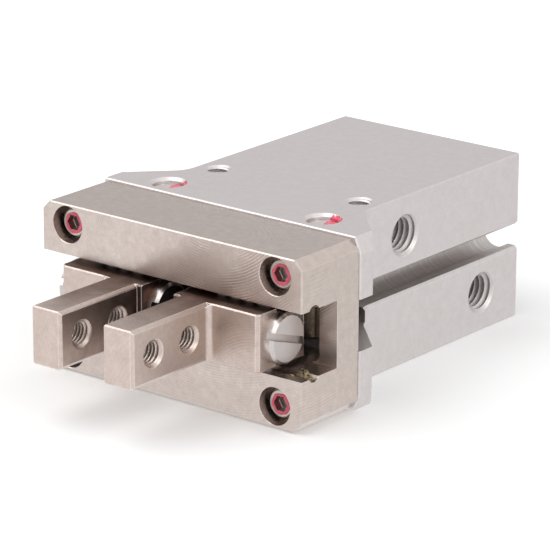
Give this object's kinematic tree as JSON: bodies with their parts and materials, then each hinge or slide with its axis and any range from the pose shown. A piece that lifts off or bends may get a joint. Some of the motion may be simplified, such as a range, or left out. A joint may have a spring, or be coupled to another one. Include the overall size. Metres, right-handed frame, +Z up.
{
  "type": "pneumatic parallel gripper",
  "caption": "Two-finger parallel gripper with an air cylinder housing, a steel guide block, and two levers that slide the fingers apart and together.",
  "frame": {"origin": "on the bottom face, below the middle of the whole length and width, with the jaws closed", "axes": "+X towards the right finger and the air ports, +Y from the finger tips to the rear face, +Z up through the top face"},
  "size_m": [0.0404, 0.0676, 0.0216],
  "materials": {
    "anodised_body": "fine matte, clear anodised",
    "plated_steel": "ground and nickel plated, warm grey",
    "screw_steel": "plain plated steel",
    "hardened_steel": "ground",
    "stopper_steel": "turned, bright",
    "ball_steel": "polished",
    "turned_aluminium": "turned",
    "seal_rubber": "smooth black",
    "magnet": "bonded magnet, dark",
    "spring_steel": "phosphated",
    "screw_lacquer": "translucent red screw lacquer",
    "rail_grease": "thin brown grease"
  },
  "bodies": {
    "housing": {"body_housing": "anodised_body", "guide_block": "plated_steel", "guide_screws": "screw_steel", "lever_shaft_left": "hardened_steel", "lever_shaft_right": "hardened_steel", "rod_seal": "seal_rubber", "seal_retainer": "screw_steel", "front_bumper": "seal_rubber", "rear_cap": "turned_aluminium", "rear_cap_o_ring": "seal_rubber", "snap_ring": "spring_steel"},
    "piston_assembly": {"piston_rod": "hardened_steel", "piston": "turned_aluminium", "piston_seal": "seal_rubber", "sensor_magnet": "magnet", "magnet_holder": "turned_aluminium", "rod_nut": "screw_steel"},
    "lever_left": {"lever_left": "hardened_steel"},
    "lever_right": {"lever_right": "hardened_steel"},
    "finger_left": {"finger_left": "plated_steel", "stopper_screws_left": "stopper_steel"},
    "finger_right": {"finger_right": "plated_steel", "stopper_screws_right": "stopper_steel"},
    "balls_left": {"balls_left_upper": "ball_steel", "balls_left_lower": "ball_steel"},
    "balls_right": {"balls_right_upper": "ball_steel", "balls_right_lower": "ball_steel"}
  },
  "joints": [
    {"name": "piston_slide", "type": "slide", "parent": "housing", "child": "piston_assembly", "axis": [0, -1, 0], "range_m": [0, 0.0034]},
    {"name": "lever_left_pivot", "type": "hinge", "parent": "housing", "child": "lever_left", "pos_m": [-0.012, -0.00405, 0.0108], "axis": [0, 0, -1], "range_deg": [0, 20.83]},
    {"name": "finger_left_slide", "type": "slide", "parent": "housing", "child": "finger_left", "axis": [-1, 0, 0], "range_m": [0, 0.003]},
    {"name": "balls_left_roll", "type": "slide", "parent": "housing", "child": "balls_left", "axis": [-1, 0, 0], "range_m": [0, 0.0015]},
    {"name": "lever_right_pivot", "type": "hinge", "parent": "housing", "child": "lever_right", "pos_m": [0.012, -0.00405, 0.0108], "axis": [0, 0, 1], "range_deg": [0, 20.83]},
    {"name": "finger_right_slide", "type": "slide", "parent": "housing", "child": "finger_right", "axis": [1, 0, 0], "range_m": [0, 0.003]},
    {"name": "balls_right_roll", "type": "slide", "parent": "housing", "child": "balls_right", "axis": [1, 0, 0], "range_m": [0, 0.0015]}
  ],
  "couplings": [
    {"joint": "lever_left_pivot", "follows": "piston_slide", "rad_per_m": 106.97},
    {"joint": "finger_left_slide", "follows": "piston_slide", "ratio": 0.88298},
    {"joint": "balls_left_roll", "follows": "piston_slide", "ratio": 0.44149},
    {"joint": "lever_right_pivot", "follows": "piston_slide", "rad_per_m": 106.97},
    {"joint": "finger_right_slide", "follows": "piston_slide", "ratio": 0.88298},
    {"joint": "balls_right_roll", "follows": "piston_slide", "ratio": 0.44149}
  ]
}
